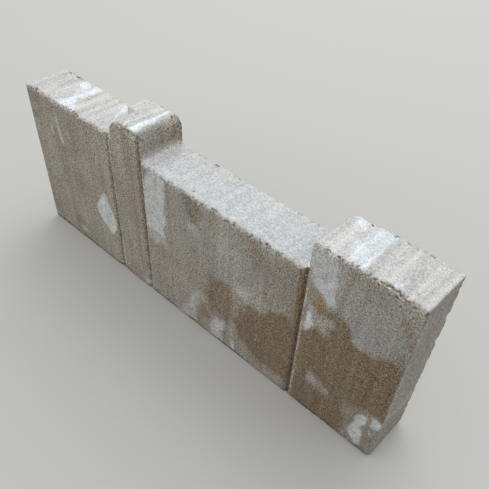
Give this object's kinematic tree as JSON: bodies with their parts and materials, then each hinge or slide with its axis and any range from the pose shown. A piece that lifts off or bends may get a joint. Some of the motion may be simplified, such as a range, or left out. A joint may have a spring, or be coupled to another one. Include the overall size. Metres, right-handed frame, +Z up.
{
  "type": "concrete kerb stone",
  "caption": "Low garden kerb of pressed concrete, cast in one piece, with a grooved front and a stepped, gently waved top that looks like separate stones.",
  "frame": {"origin": "middle of the footprint, on the ground", "axes": "+X along the kerb, to the right seen from the grooved front; +Y from the grooved front to the plain back; +Z up"},
  "size_m": [0.5, 0.054, 0.2015],
  "materials": {
    "concrete": "dry-pressed concrete, matt and sandy, with lime bloom, damp stains and crumbled edges"
  },
  "bodies": {
    "root": {"kerb_stone": "concrete"}
  },
  "joints": []
}
